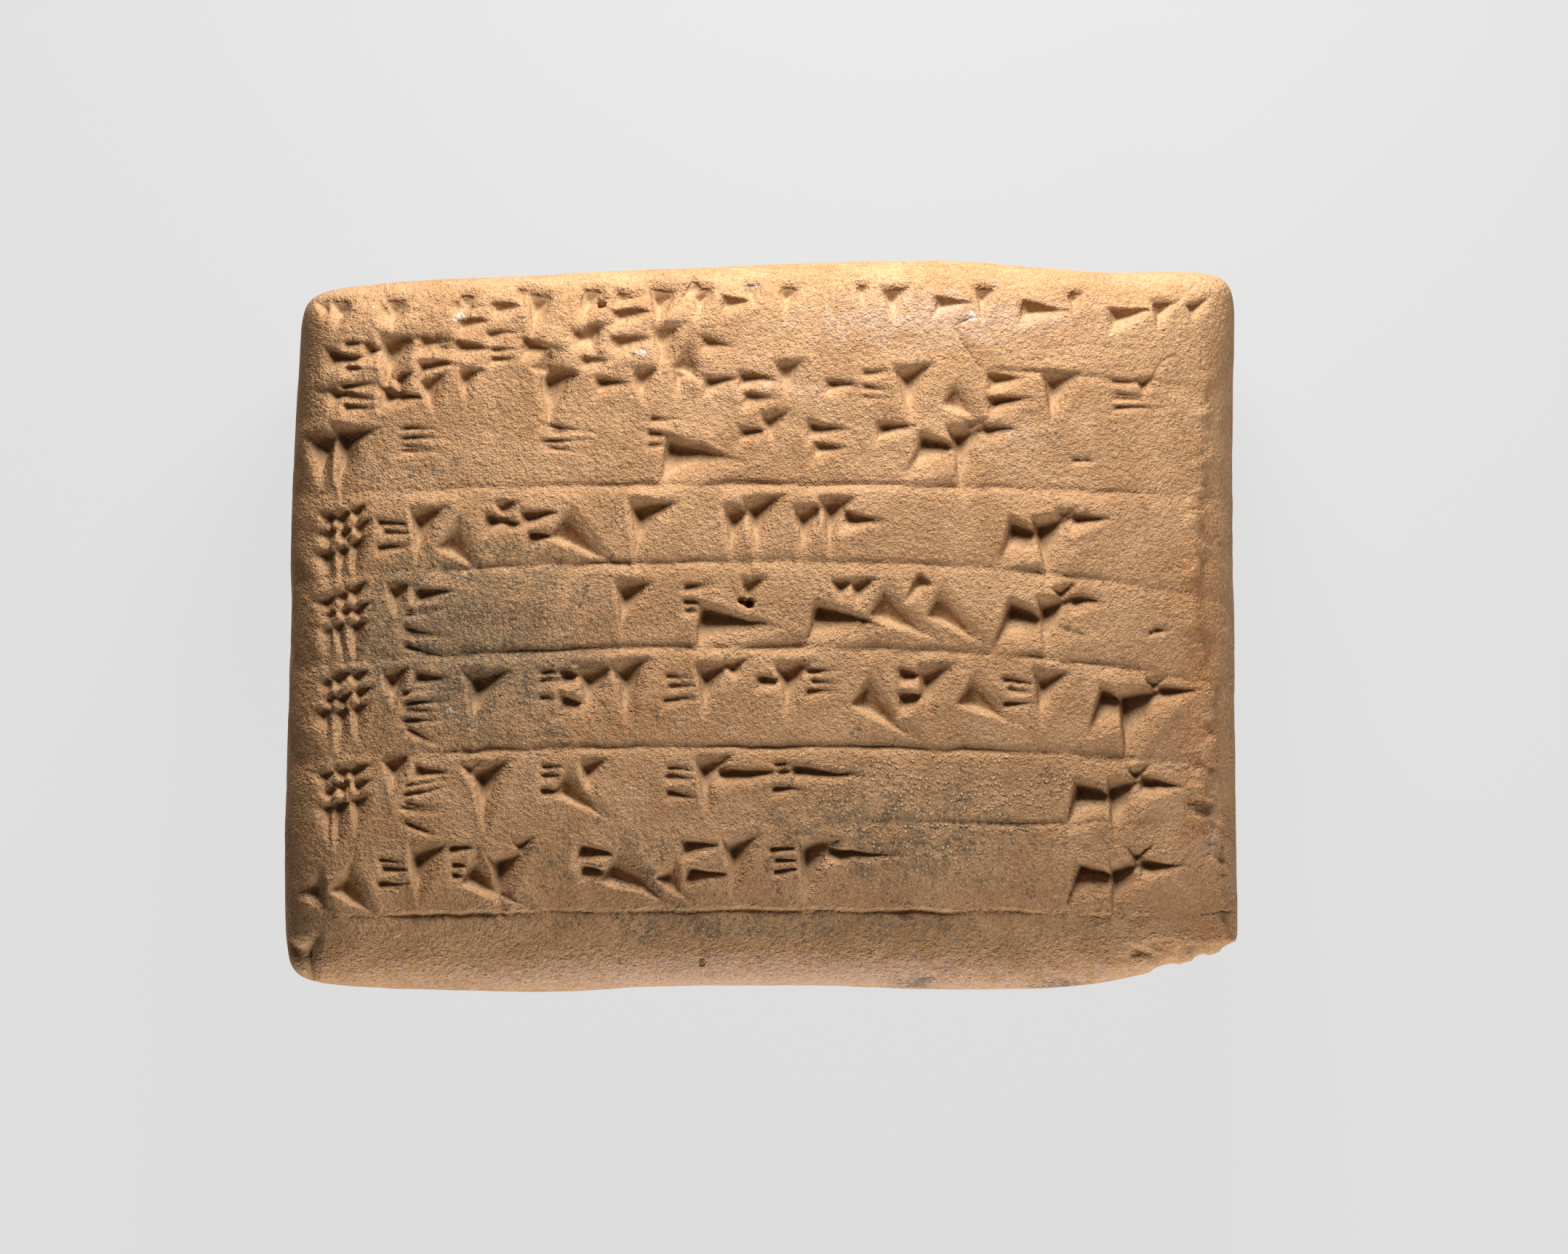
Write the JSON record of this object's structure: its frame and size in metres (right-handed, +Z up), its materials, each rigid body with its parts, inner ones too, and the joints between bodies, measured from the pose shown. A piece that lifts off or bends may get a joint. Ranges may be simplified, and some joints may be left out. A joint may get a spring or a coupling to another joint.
{
  "type": "cuneiform tablet",
  "caption": "Small pillow-shaped clay account tablet with ruled rows of pressed wedge strokes on its face, lying on its back.",
  "frame": {"origin": "middle of the flat worn spot on the back that the tablet lies on", "axes": "+X along the written lines towards their end, +Y across them towards the first line, +Z up out of the written face"},
  "size_m": [0.054, 0.0415, 0.017],
  "materials": {
    "clay": "dry unglazed clay, matt and finely granular, tan with grey-olive and orange-brown patches"
  },
  "bodies": {
    "root": {"tablet": "clay"}
  },
  "joints": []
}
